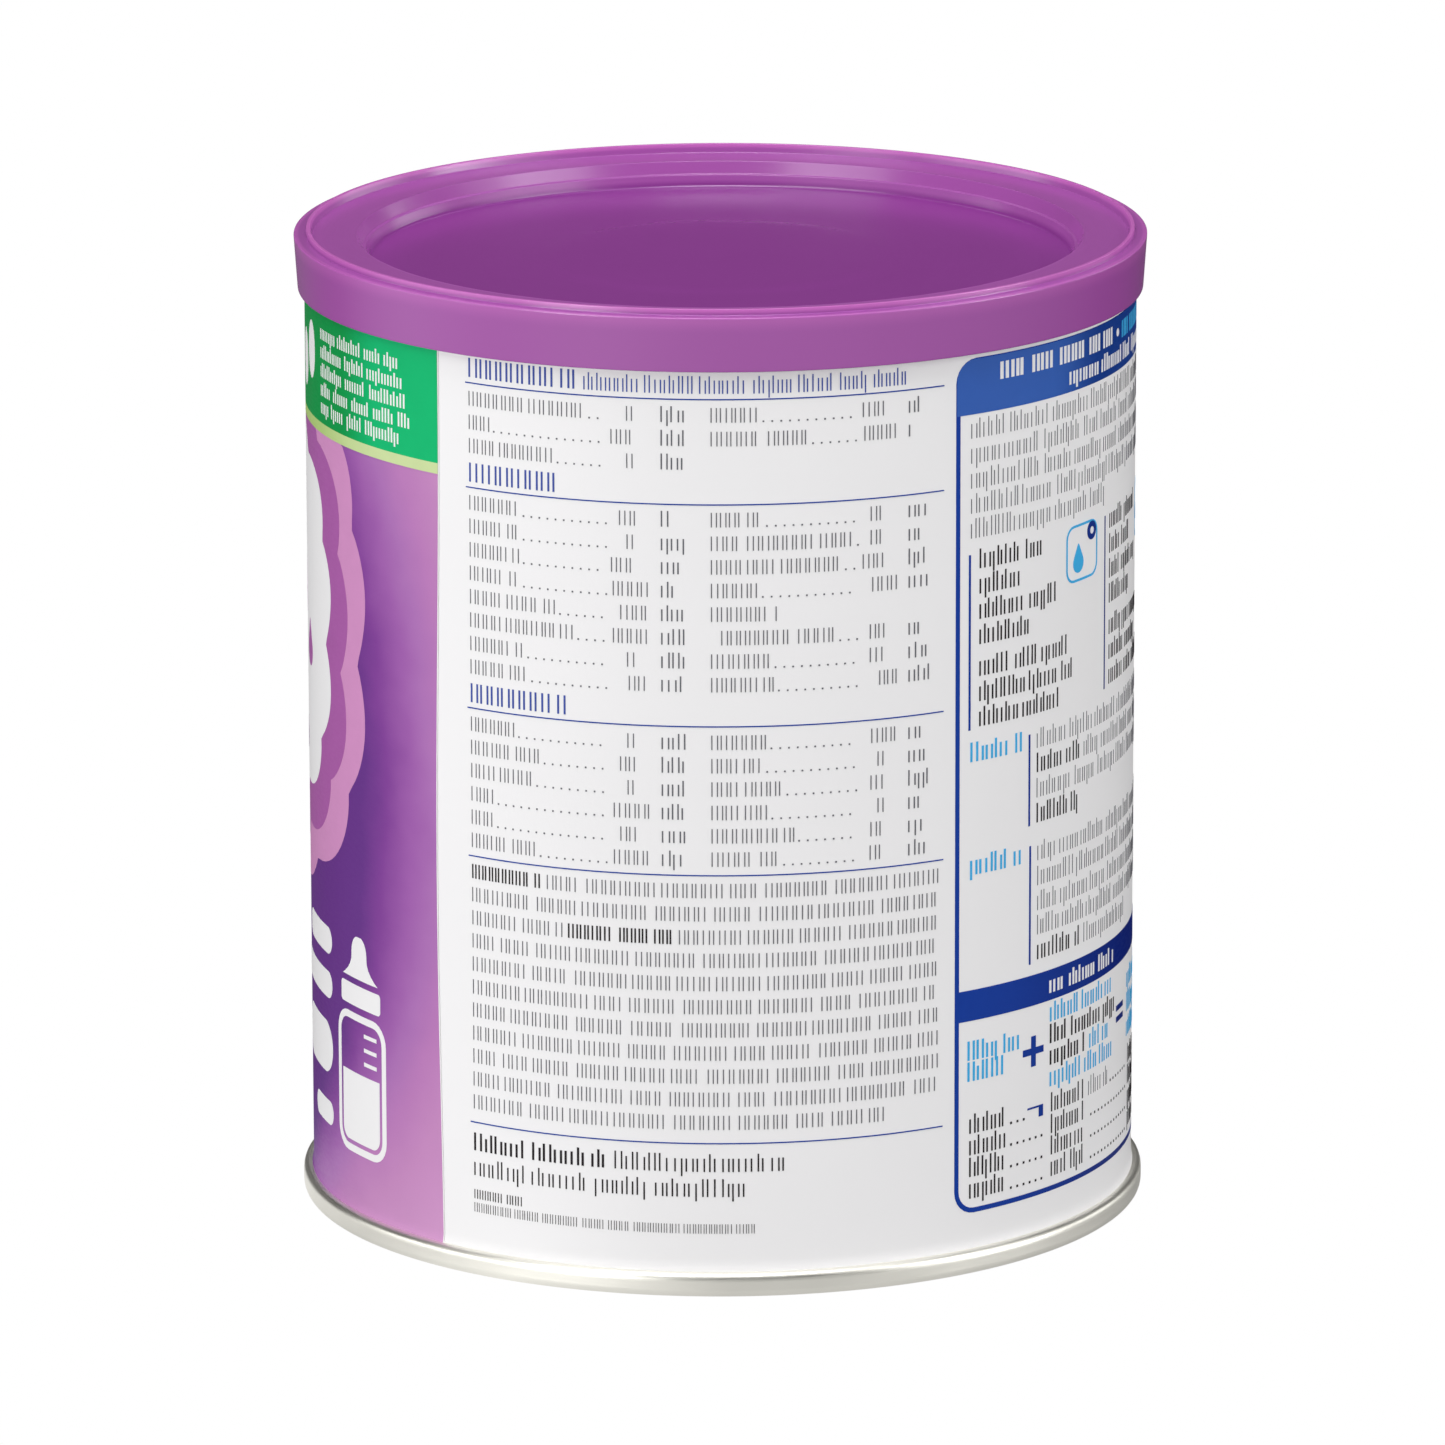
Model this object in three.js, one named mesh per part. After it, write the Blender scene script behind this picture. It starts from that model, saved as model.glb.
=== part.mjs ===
// An infant formula tin, standing upright: a round body closed at the foot by a seamed
// steel end, wrapped in a paper label, with a push-fit plastic lid.
// Millimetres, +Z up, origin at the centre of the circle the tin stands on.
// The front of the tin as pictured, its nutrition panel, faces -Y.
import * as THREE from 'three';

// driving dimensions
const segments = 80; // facets round every turned piece
const clearance = 0.3; // air between pieces that touch on the real tin

const seamRadius = 51.6; // outside of the rolled bottom seam, a 4 1/16 in can end
const seamHeight = 2.7;
const seamWidth = 2.0; // radial width of the seam seen from below
const seamRound = 0.6;
const endPanelZ = 3.1; // underside of the recessed steel panel
const endDeepZ = 3.9; // deepest channel of the panel, beside the seam
const endTopZ = 4.4; // upper side of the end, hidden in the body
const endBeadRadius = 39.0; // pressed ring bead of the panel
const endBeadWidth = 2.4;
const endBeadDepth = 0.6;
const endBeadSlope = 0.8; // how far each side of the bead runs out
const channelRadius = 46.5; // inner side of the deep channel
const channelWidth = 1.5;
const channelSlope = 0.9;
const neckRadius = 49.1; // the end passes up inside the body here

const labelRadius = 50.35; // outside of the paper
const labelThickness = 0.25;
const labelFlare = 0.3; // the paper turns out over the seam
const flareHeight = 1.5;
const labelTopZ = 113.6; // just inside the lid's skirt
const footZ = seamHeight + clearance; // where the paper and the wall under it end

const bodyRadius = labelRadius - labelThickness - clearance;
const beadRadius = 50.25; // rolled top edge of the body, under the lid
const beadInnerRadius = 45.2;
const beadRound = 0.6;
const beadFootZ = 115.0;
const bodyTopZ = 118.0;
const bodyPanelZ = 114.8; // sunk top panel, under the lid's well
const bodyPanelDraft = 0.25; // lean of the wall round the sunk panel

const lidHeight = 120.15; // top of the stacking ring, the tin's full height
const skirtBottomZ = 112.8;
const skirtRadius = 51.65; // widest, just under the shoulder
const skirtFootRadius = 51.2; // the skirt leans in towards its foot
const skirtFootRound = 0.15;
const skirtInnerRadius = labelRadius + clearance;
const shoulderZ = 119.4; // where the shoulder meets the stacking ring
const shoulderRound = 1.1;
const ringRadius = 49.75; // middle of the stacking ring
const ringHalfWidth = 0.4;
const ringFillet = 0.15;
const landZ = 119.05; // flat land inside the ring
const wellRadius = 43.95; // lip of the sunken well
const lipRise = 0.15; // the lip stands a little above the land
const lipWidth = 0.25;
const wellStepRadius = 43.25; // small step half way down the well's wall
const wellStepZ = 117.6;
const wellStepWidth = 0.35;
const wellStepDrop = 0.12;
const floorRadius = 42.4;
const floorRound = 0.15;
const floorZ = 116.1;
const discRadius = 19.6; // faint raised disc in the middle of the floor
const discRise = 0.15;
const discSlope = 1.4;
const lidThickness = 1.0; // of the well's wall and floor
const lidUnderZ = bodyTopZ + clearance;
const lidFloorUnderZ = floorZ - lidThickness;
const lidUnderRound = 0.5;

// Points on a round corner, from one angle to another in degrees, 0 outwards and 90 up.
function corner(radius, height, round, from, to, steps = 2) {
  const points = [];
  for (let i = 0; i <= steps; i += 1) {
    const angle = THREE.MathUtils.degToRad(from + (to - from) * (i / steps));
    points.push([radius + round * Math.cos(angle), height + round * Math.sin(angle)]);
  }
  return points;
}

// The paper, and the wall under it, curve out over the seam; from the foot upwards.
function flared(radius, steps = 3) {
  const points = [];
  for (let i = 0; i <= steps; i += 1) {
    const rise = i / steps;
    points.push([radius + labelFlare * (1 - rise) ** 2, footZ + flareHeight * rise]);
  }
  return points;
}

// A closed body turned round Z from [radius, height] pairs. The pairs run
// anticlockwise, from low on the axis or round a closed loop.
function turned(name, profile, material) {
  const points = profile.map(([radius, height]) => new THREE.Vector2(radius, height));
  const mesh = new THREE.Mesh(new THREE.LatheGeometry(points, segments), material);
  mesh.name = name;
  mesh.rotation.x = Math.PI / 2; // the lathe's Y axis becomes Z
  return mesh;
}

const tinplate = new THREE.MeshStandardMaterial({ color: 0xc9c5bd, roughness: 0.34, metalness: 0.95 });
const bareBody = new THREE.MeshStandardMaterial({ color: 0xb9b4aa, roughness: 0.5, metalness: 0.6 });
const labelPaper = new THREE.MeshStandardMaterial({ color: 0xe9e9ee, roughness: 0.42, metalness: 0 });
const violetPlastic = new THREE.MeshStandardMaterial({ color: 0x99489b, roughness: 0.4, metalness: 0 });

// Steel end: flat panel with a pressed bead, a deep channel, the rolled seam,
// then a plain hidden top.
const seamInnerRadius = seamRadius - seamWidth;
const endBeadInner = endBeadRadius - endBeadWidth / 2;
const endBeadOuter = endBeadRadius + endBeadWidth / 2;
const bottomEnd = turned('bottom_end', [
  [0, endPanelZ],
  [endBeadInner - endBeadSlope, endPanelZ],
  [endBeadInner, endPanelZ - endBeadDepth],
  [endBeadOuter, endPanelZ - endBeadDepth],
  [endBeadOuter + endBeadSlope, endPanelZ],
  [channelRadius - channelSlope, endPanelZ],
  [channelRadius, endDeepZ],
  [channelRadius + channelWidth, endDeepZ],
  ...corner(seamInnerRadius + seamRound, seamRound, seamRound, 180, 270),
  ...corner(seamRadius - seamRound, seamRound, seamRound, 270, 360),
  ...corner(seamRadius - seamRound, seamHeight - seamRound, seamRound, 0, 90),
  [neckRadius, seamHeight],
  [neckRadius, endTopZ],
  [0, endTopZ],
], tinplate);

// Body, shut and full, so it is one solid: hollow foot over the steel end,
// straight wall, rolled bead and a sunk top panel.
const bodyFootZ = endTopZ + clearance;
const tinBody = turned('tin_body', [
  [0, bodyFootZ],
  [neckRadius + clearance, bodyFootZ],
  [neckRadius + clearance, footZ],
  ...flared(bodyRadius),
  [bodyRadius, beadFootZ - (beadRadius - bodyRadius)],
  [beadRadius, beadFootZ],
  ...corner(beadRadius - beadRound, bodyTopZ - beadRound, beadRound, 0, 90),
  ...corner(beadInnerRadius + beadRound, bodyTopZ - beadRound, beadRound, 90, 180),
  [beadInnerRadius - bodyPanelDraft, bodyPanelZ],
  [0, bodyPanelZ],
], bareBody);

// Paper label: a thin sleeve that flares over the seam and ends under the skirt.
const labelInnerRadius = labelRadius - labelThickness;
const label = turned('label', [
  ...flared(labelRadius),
  [labelRadius, labelTopZ],
  [labelInnerRadius, labelTopZ],
  ...flared(labelInnerRadius).reverse(),
  flared(labelRadius)[0],
], labelPaper);

// Lid: underside first, from the axis out and down the inside of the skirt, then the
// skirt's face, the shoulder, the stacking ring, the land and the stepped well.
const lid = turned('lid', [
  [0, lidFloorUnderZ],
  [floorRadius + lidThickness, lidFloorUnderZ],
  [wellRadius + lidThickness - lipWidth * 2, lidUnderZ],
  [skirtInnerRadius - lidUnderRound, lidUnderZ],
  [skirtInnerRadius, lidUnderZ - lidUnderRound],
  [skirtInnerRadius, skirtBottomZ],
  [skirtFootRadius - skirtFootRound, skirtBottomZ],
  [skirtFootRadius, skirtBottomZ + skirtFootRound],
  ...corner(skirtRadius - shoulderRound, shoulderZ - shoulderRound, shoulderRound, 0, 90, 4),
  [ringRadius + ringHalfWidth + ringFillet, shoulderZ],
  ...corner(ringRadius, lidHeight - ringHalfWidth, ringHalfWidth, 0, 180, 4),
  [ringRadius - ringHalfWidth, landZ],
  [wellRadius, landZ + lipRise],
  [wellRadius - lipWidth, landZ],
  [wellStepRadius, wellStepZ],
  [wellStepRadius - wellStepWidth, wellStepZ - wellStepDrop],
  [floorRadius + floorRound, floorZ + floorRound],
  [floorRadius, floorZ],
  [discRadius + discSlope, floorZ],
  [discRadius, floorZ + discRise],
  [0, floorZ + discRise],
], violetPlastic);

const formulaTin = new THREE.Group();
formulaTin.name = 'infant_formula_tin';
formulaTin.add(bottomEnd, tinBody, label, lid);

export default formulaTin;
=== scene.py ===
import math
import random

import bpy
from mathutils import Matrix, Vector


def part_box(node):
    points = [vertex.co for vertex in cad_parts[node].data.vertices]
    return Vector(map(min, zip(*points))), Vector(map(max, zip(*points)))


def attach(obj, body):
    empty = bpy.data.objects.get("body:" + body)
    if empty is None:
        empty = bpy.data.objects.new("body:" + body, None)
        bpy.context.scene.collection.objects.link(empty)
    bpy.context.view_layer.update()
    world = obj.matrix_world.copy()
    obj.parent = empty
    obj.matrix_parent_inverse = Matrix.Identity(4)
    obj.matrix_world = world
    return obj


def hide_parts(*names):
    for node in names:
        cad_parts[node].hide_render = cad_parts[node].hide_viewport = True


# An infant formula tin: paper-labelled body, rolled steel end and a push-fit violet lid
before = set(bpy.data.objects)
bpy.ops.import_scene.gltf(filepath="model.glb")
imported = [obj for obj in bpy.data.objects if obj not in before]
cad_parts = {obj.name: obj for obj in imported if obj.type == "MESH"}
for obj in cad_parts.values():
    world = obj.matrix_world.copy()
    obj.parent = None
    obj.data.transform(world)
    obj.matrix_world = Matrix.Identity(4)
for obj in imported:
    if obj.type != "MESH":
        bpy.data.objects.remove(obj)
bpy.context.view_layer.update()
mm = 0.001  # the shapes below are written in millimetres
labelLow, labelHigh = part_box("label")
lidLow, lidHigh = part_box("lid")
endLow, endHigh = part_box("bottom_end")


# Turns corners (radius, height, rounding) into a smooth outline, with a point beside
# each rounding so that the flat stretches stay flat when shaded
def roundedOutline(corners, steps, beside=0.06):
    outline = []
    for i, (r, z, rounding) in enumerate(corners):
        if not rounding:
            outline.append((r, z))
            continue
        arms = []
        for nextR, nextZ, _ in (corners[i - 1], corners[(i + 1) % len(corners)]):
            length = math.hypot(nextR - r, nextZ - z)
            arms.append(((nextR - r) / length, (nextZ - z) / length, length))
        reach = min(rounding, 0.45 * arms[0][2], 0.45 * arms[1][2])  # 0.45: neighbours keep apart
        start, end = [(r + a[0] * reach, z + a[1] * reach) for a in arms]
        before, after = [(r + a[0] * (reach + beside), z + a[1] * (reach + beside)) for a in arms]
        outline.append(before)
        for k in range(steps + 1):
            t = k / steps
            outline.append(tuple(
                (1 - t) ** 2 * start[n] + 2 * t * (1 - t) * (r, z)[n] + t * t * end[n] for n in (0, 1)))
        outline.append(after)
    return outline


# Turns an outline round the tin's axis; it runs anticlockwise, from the axis to the axis
def turned(outline, segments):
    verts, faces, rings = [], [], []
    for r, z in outline:
        if r < 1e-6:
            rings.append([len(verts)] * segments)
            verts.append((0, 0, z))
            continue
        rings.append([len(verts) + k for k in range(segments)])
        for k in range(segments):
            angle = 2 * math.pi * k / segments
            verts.append((r * math.sin(angle), -r * math.cos(angle), z))
    for lower, upper in zip(rings, rings[1:]):
        for k in range(segments):
            n = (k + 1) % segments
            face = []
            for v in (lower[k], lower[n], upper[n], upper[k]):
                if v not in face:
                    face.append(v)
            if len(face) > 2:
                faces.append(face)
    return verts, faces


# Makes a piece of the tin from points in millimetres
def makePiece(name, verts, faces, material, smooth=True, sharpDegrees=40, places=None):
    mesh = bpy.data.meshes.new(name)
    mesh.from_pydata([(x * mm, y * mm, z * mm) for x, y, z in verts], [], faces)
    mesh.materials.append(material)
    if places:
        drawn = mesh.uv_layers.new(name="OFBake")
        flat = []
        for face in places:
            for around, up in face:
                flat += [((around - paper["mapStart"]) % girth) / girth, up / paper["top"]]
        drawn.data.foreach_set("uv", flat)
    if smooth:
        mesh.shade_smooth()
        mesh.set_sharp_from_angle(angle=math.radians(sharpDegrees))
    piece = bpy.data.objects.new(name, mesh)
    bpy.context.scene.collection.objects.link(piece)
    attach(piece, "root")
    return piece


# Short ways to add nodes to a tree; what feeds an input is a number, a colour or another socket
class Net:
    def __init__(self, tree):
        self.nodes = tree.nodes
        self.links = tree.links

    def feed(self, socket, value):
        if isinstance(value, bpy.types.NodeSocket):
            self.links.new(value, socket)
        elif socket.type == "RGBA":
            socket.default_value = (*value, 1)
        else:
            socket.default_value = value

    def math(self, operation, a, b=0.0):
        node = self.nodes.new("ShaderNodeMath")
        node.operation = operation
        self.feed(node.inputs[0], a)
        self.feed(node.inputs[1], b)
        return node.outputs[0]

    def scaled(self, vector, factor):
        node = self.nodes.new("ShaderNodeVectorMath")
        node.operation = "SCALE"
        self.links.new(vector, node.inputs[0])
        self.feed(node.inputs["Scale"], factor)
        return node.outputs[0]

    def split(self, vector):
        node = self.nodes.new("ShaderNodeSeparateXYZ")
        self.feed(node.inputs[0], vector)
        return node.outputs

    def joined(self, *parts):
        node = self.nodes.new("ShaderNodeCombineXYZ")
        for socket, part in zip(node.inputs, parts):
            self.feed(socket, part)
        return node.outputs[0]

    def ranged(self, value, fromLow, fromHigh, toLow=0.0, toHigh=1.0, soft=True):
        node = self.nodes.new("ShaderNodeMapRange")
        node.interpolation_type = "SMOOTHSTEP" if soft else "LINEAR"
        for label, number in (("Value", value), ("From Min", fromLow), ("From Max", fromHigh),
                              ("To Min", toLow), ("To Max", toHigh)):
            self.feed(node.inputs[label], number)
        return node.outputs["Result"]

    def noise(self, vector, scale, detail=3.0, roughness=0.55):
        node = self.nodes.new("ShaderNodeTexNoise")
        for label, value in (("Vector", vector), ("Scale", scale), ("Detail", detail),
                             ("Roughness", roughness)):
            self.feed(node.inputs[label], value)
        return node.outputs["Fac"]

    def mixed(self, factor, low, high):
        node = self.nodes.new("ShaderNodeMix")
        node.data_type = "RGBA"
        for k, value in ((0, factor), (6, low), (7, high)):  # its factor and its two colours
            self.feed(node.inputs[k], value)
        return node.outputs[2]

    def ramp(self, factor, stops):
        node = self.nodes.new("ShaderNodeValToRGB")
        self.feed(node.inputs["Fac"], factor)
        elements = node.color_ramp.elements
        for element, (position, tone) in zip(elements, (stops[0], stops[-1])):
            element.position = position
            element.color = (*tone, 1)
        for position, tone in stops[1:-1]:
            elements.new(position).color = (*tone, 1)
        return node.outputs["Color"]

    def shared(self, name, given=()):
        node = self.nodes.new("ShaderNodeGroup")
        node.node_tree = sharedGroups[name]
        for label, value in dict(given).items():
            self.feed(node.inputs[label], value)
        return node.outputs


# Node groups shared by the materials
sharedGroups = {}
socketKinds = {"number": "NodeSocketFloat", "vector": "NodeSocketVector", "color": "NodeSocketColor"}


def newGroup(name, inputs, outputs):
    group = bpy.data.node_groups.new(name, "ShaderNodeTree")
    for label, kind, value in inputs:
        socket = group.interface.new_socket(name=label, in_out="INPUT", socket_type=socketKinds[kind])
        socket.default_value = value
    for label, kind in outputs:
        group.interface.new_socket(name=label, in_out="OUTPUT", socket_type=socketKinds[kind])
    sharedGroups[name] = group
    net = Net(group)
    return net, net.nodes.new("NodeGroupInput").outputs, net.nodes.new("NodeGroupOutput").inputs


# Places on the tin in millimetres: round it from the front, up it, and out from the axis
def addTinPlace():
    net, _, out = newGroup(
        "tinPlace", (), (("Around", "number"), ("Up", "number"), ("Out", "number"), ("Point", "vector"),
                         ("Wrapped", "vector")))
    point = net.scaled(net.nodes.new("ShaderNodeTexCoord").outputs["Object"], 1 / mm)
    x, y, z = net.split(point)
    around = net.math("MULTIPLY", net.math("ARCTAN2", x, net.math("MULTIPLY", y, -1)), paper["radius"])
    fromAxis = net.math("SQRT", net.math("ADD", net.math("MULTIPLY", x, x), net.math("MULTIPLY", y, y)))
    for label, socket in (("Around", around), ("Up", z), ("Out", fromAxis), ("Point", point),
                          ("Wrapped", net.joined(around, z, fromAxis))):
        net.feed(out[label], socket)


# A colour with soft lighter and darker patches in it
def addMottle():
    net, given, out = newGroup(
        "mottle", (("Color", "color", (0.5, 0.5, 0.5, 1)), ("Point", "vector", (0, 0, 0)),
                   ("Scale", "number", 1.0), ("Amount", "number", 0.1)), (("Color", "color"),))
    patches = net.noise(given["Point"], given["Scale"])
    centred = net.math("MULTIPLY", net.math("SUBTRACT", patches, 0.5), given["Amount"])
    factor = net.math("ADD", net.math("MULTIPLY", centred, 2.0), 1.0)
    net.feed(out["Color"], net.scaled(given["Color"], factor))


# Fine grain for bump and a roughness that wanders with it; Stretch draws it out round the tin
def addGrain():
    net, given, out = newGroup(
        "grain", (("Wrapped", "vector", (0, 0, 0)), ("Scale", "number", 2.0), ("Stretch", "number", 1.0),
                  ("Low", "number", 0.3), ("High", "number", 0.4)),
        (("Height", "number"), ("Roughness", "number")))
    around, up, outward = net.split(given["Wrapped"])
    drawn = net.joined(net.math("DIVIDE", around, given["Stretch"]), up, outward)
    grain = net.noise(drawn, given["Scale"], detail=4.0, roughness=0.6)
    net.feed(out["Height"], grain)
    net.feed(out["Roughness"], net.ranged(grain, 0.3, 0.7, given["Low"], given["High"]))


# Small pale nicks and rubs where an edge is handled, near its height
def addNicks():
    net, given, out = newGroup(
        "nicks", (("Point", "vector", (0, 0, 0)), ("Up", "number", 0.0), ("Edge Height", "number", 120.0),
                  ("Edge Width", "number", 0.4), ("Scale", "number", 1.4), ("Share", "number", 0.68)),
        (("Mask", "number"),))
    specks = net.noise(given["Point"], given["Scale"], detail=5.0, roughness=0.7)
    few = net.ranged(specks, given["Share"], net.math("ADD", given["Share"], 0.05))
    away = net.math("ABSOLUTE", net.math("SUBTRACT", given["Up"], given["Edge Height"]))
    near = net.ranged(away, 0.0, given["Edge Width"], 1.0, 0.0)
    net.feed(out["Mask"], net.math("MULTIPLY", few, near))


# A material with its Principled shader's sockets and the tin's own places ready
def newMaterial(name):
    material = bpy.data.materials.new(name)
    material.use_nodes = True
    net = Net(material.node_tree)
    return material, net, net.nodes["Principled BSDF"].inputs, net.shared("tinPlace")


# A finished surface: a patchy colour, a roughness that wanders and a fine bump. The colour is
# a tone, or a function that makes one from the places; worn may change it last.
def surfaceMaterial(name, look, color, metallic=0.0, worn=None):
    material, net, shader, place = newMaterial(name)
    shader["Metallic"].default_value = metallic
    shader["Specular IOR Level"].default_value = look["shine"]
    tone = color(net, place) if callable(color) else color
    patchy = net.shared("mottle", {"Color": tone, "Point": place["Point"], "Scale": look["patchSize"],
                                   "Amount": look["patches"]})["Color"]
    net.feed(shader["Base Color"], worn(net, place, patchy) if worn else patchy)
    grain = net.shared("grain", {"Wrapped": place["Wrapped"], "Scale": look["grain"],
                                 "Stretch": look["stretch"], "Low": look["roughLow"],
                                 "High": look["roughHigh"]})
    net.feed(shader["Roughness"], grain["Roughness"])
    bump = net.nodes.new("ShaderNodeBump")
    bump.inputs["Strength"].default_value = look["bump"]
    bump.inputs["Distance"].default_value = look["bumpDepth"] * mm
    net.feed(bump.inputs["Height"], grain["Height"])
    net.feed(shader["Normal"], bump.outputs["Normal"])
    return material


# Screen colour, 0 to 255, to the linear values that the shaders take
def screen(red, green, blue):
    linear = []
    for level in (red, green, blue):
        c = level / 255
        linear.append(c / 12.92 if c <= 0.04045 else ((c + 0.055) / 1.055) ** 2.4)
    return tuple(linear)


# Paper label
paper = {
    "solidFlare": 0.3,       # how far the plain solid turns out over the seam
    "flare": 0.2,            # the drawn paper turns out less
    "flareHeight": 1.5,
    "footDrop": 0.1,         # and closes on the seam's round shoulder
    "thickness": 0.25,
    "lapStep": 0.12,         # the printed front overlaps the start of the wrap
    "lapWidth": 9.0,
    "lapEdge": -36.77,       # where the cut edge stands, round the tin from the front
    "mapStart": -34.77,      # where the print's map starts, just past the cut
    "lapSway": 0.38,         # the cut wanders a little up the tin
    "lapSwayStart": 105.0,
    "lapSwayLength": 18.0,
    "columnStep": 1.2,
    "rowStep": 3.5,
    "flareRows": 6,
    "hair": 1e-6,            # keeps each end of the wrap on its own side of the cut
}
paper["radius"] = labelHigh.x / mm - paper["solidFlare"]
paper["bottom"] = labelLow.z / mm - paper["footDrop"]
paper["top"] = labelHigh.z / mm
girth = 2 * math.pi * paper["radius"]


def cutEdgeAt(z):
    wave = math.cos((z - paper["lapSwayStart"]) / paper["lapSwayLength"])
    return paper["lapEdge"] + paper["lapSway"] * wave


# Radius of the paper's face at a place round the tin and up it
def paperRadius(around, z):
    radius = paper["radius"]
    rise = (z - paper["bottom"]) / paper["flareHeight"]
    if rise < 1:
        radius += paper["flare"] * (1 - max(rise, 0)) ** 2
    behind = (cutEdgeAt(z) - around) % girth
    if behind < paper["lapWidth"]:
        share = behind / paper["lapWidth"]
        radius += paper["lapStep"] * (1 - share * share * (3 - 2 * share))
    return radius


def onTin(around, z, radius):
    angle = around / paper["radius"]
    return (radius * math.sin(angle), -radius * math.cos(angle), z)


for addGroup in (addTinPlace, addMottle, addGrain, addNicks):
    addGroup()
print("node groups ready:", *sharedGroups)

paperLook = {
    "white": screen(232, 231, 232), "patchSize": 0.05, "patches": 0.012, "grain": 1.6,
    "stretch": 22.0, "roughLow": 0.38, "roughHigh": 0.46, "bump": 0.10, "bumpDepth": 0.02, "shine": 0.22,
}


# One sheet wrapped round, so its outer face starts at the cut edge, runs all the way
# round and ends on top of its own start
def makeLabel():
    columns = round(girth / paper["columnStep"])
    bottom, flared = paper["bottom"], paper["flareHeight"]
    straight = paper["top"] - bottom - flared
    rows = round(straight / paper["rowStep"])
    heights = [bottom + flared * k / paper["flareRows"] for k in range(paper["flareRows"])]
    heights += [bottom + flared + straight * k / rows for k in range(rows + 1)]
    verts, outer, inner = [], [], []
    for z in heights:
        outerRow, innerRow = [], []
        for k in range(columns + 1):
            around = cutEdgeAt(z) + girth * k / columns
            side = {0: paper["hair"], columns: -paper["hair"]}.get(k, 0)
            outerRow.append(len(verts))
            verts.append(onTin(around, z, paperRadius(around + side, z)))
        innerRadius = paperRadius(cutEdgeAt(z) + girth / 2, z) - paper["thickness"]
        for k in range(columns):
            innerRow.append(len(verts))
            verts.append(onTin(cutEdgeAt(z) + girth * k / columns, z, innerRadius))
        innerRow.append(innerRow[0])
        outer.append(outerRow)
        inner.append(innerRow)
    faces = []
    last = len(heights) - 1
    for i in range(last):
        for k in range(columns):
            faces.append((outer[i][k], outer[i][k + 1], outer[i + 1][k + 1], outer[i + 1][k]))
            faces.append((inner[i][k], inner[i + 1][k], inner[i + 1][k + 1], inner[i][k + 1]))
        faces.append((outer[i][columns], outer[i][0], outer[i + 1][0], outer[i + 1][columns]))
    for k in range(columns):
        faces.append((inner[0][k], inner[0][k + 1], outer[0][k + 1], outer[0][k]))
        faces.append((outer[last][k], outer[last][k + 1], inner[last][k + 1], inner[last][k]))
    faces.append((inner[0][0], outer[0][0], outer[0][columns]))
    faces.append((inner[last][0], outer[last][columns], outer[last][0]))
    material = surfaceMaterial("coated_paper", paperLook, paperLook["white"])
    label = makePiece("label_sleeve", verts, faces, material, sharpDegrees=30)
    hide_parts("label")
    return label


labelSleeve = makeLabel()
print("label wrapped:", len(labelSleeve.data.polygons), "faces")


# Print: thin closed slabs of ink on the paper, each ink one piece
ink = {
    "step": 0.012,     # each level of print stands this much prouder
    "sink": 0.03,      # and every slab reaches this far into the paper
    "column": 1.2,     # longest stretch round the tin without a bend
    "square": 0.01,    # rounding of a corner that looks square
    "seed": 11,
}
printDraw = random.Random(ink["seed"])


def newSheet():
    return {"verts": [], "faces": [], "places": []}


# A closed slab over a grid of places (around, up), given row by row
def addSlab(sheet, grid, level, closed=False):
    known = {}
    rows = len(grid) if closed else len(grid) - 1
    columns = len(grid[0]) - 1
    turn = 0
    for i in range(rows):
        (u0, z0), (u1, z1) = grid[i][0], grid[(i + 1) % len(grid)][columns]
        (u2, z2), (u3, z3) = grid[i][columns], grid[(i + 1) % len(grid)][0]
        turn += (u1 - u0) * (z3 - z2) - (z1 - z0) * (u3 - u2)
    if turn < 0:
        grid = [row[::-1] for row in grid]

    def corner(place, outer):
        key = (round(place[0], 4), round(place[1], 4), outer)
        if key not in known:
            known[key] = len(sheet["verts"])
            lift = ink["step"] * level if outer else -ink["sink"]
            sheet["verts"].append(onTin(*place, paperRadius(*place) + lift))
        return known[key]

    def face(corners, drawn):
        kept = [k for k in range(len(corners)) if corners[k] != corners[k - 1]]
        if len(kept) > 2:
            sheet["faces"].append([corners[k] for k in kept])
            sheet["places"].append([drawn[k] for k in kept])

    def wall(start, end, drawn):
        face([corner(start, True), corner(end, True), corner(end, False), corner(start, False)], drawn)

    for i in range(rows):
        low, high = grid[i], grid[(i + 1) % len(grid)]
        for j in range(columns):
            around = [low[j], low[j + 1], high[j + 1], high[j]]
            face([corner(p, True) for p in around], around)
            face([corner(p, False) for p in around[::-1]], around[::-1])
            if not closed and i == 0:
                wall(low[j + 1], low[j], around)
            if not closed and i == rows - 1:
                wall(high[j], high[j + 1], around)
        wall(low[0], high[0], [low[0], high[0], high[1], low[1]])
        wall(high[-1], low[-1], [high[-1], low[-1], low[-2], high[-2]])


def tick(sheet, foot, head, width, level):
    half = width / 2
    addSlab(sheet, [[(u - half, z), (u + half, z)] for u, z in (foot, head)], level)


# An area between two sides; each side is a function of height
def area(sheet, leftAt, rightAt, heights, level):
    widest = max(rightAt(z) - leftAt(z) for z in heights)
    columns = max(1, math.ceil(widest / ink["column"]))
    addSlab(sheet, [[(leftAt(z) + (rightAt(z) - leftAt(z)) * k / columns, z) for k in range(columns + 1)]
                    for z in heights], level)


def bar(sheet, left, right, bottom, top, level):
    area(sheet, lambda z: left, lambda z: right, (bottom, top), level)


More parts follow.
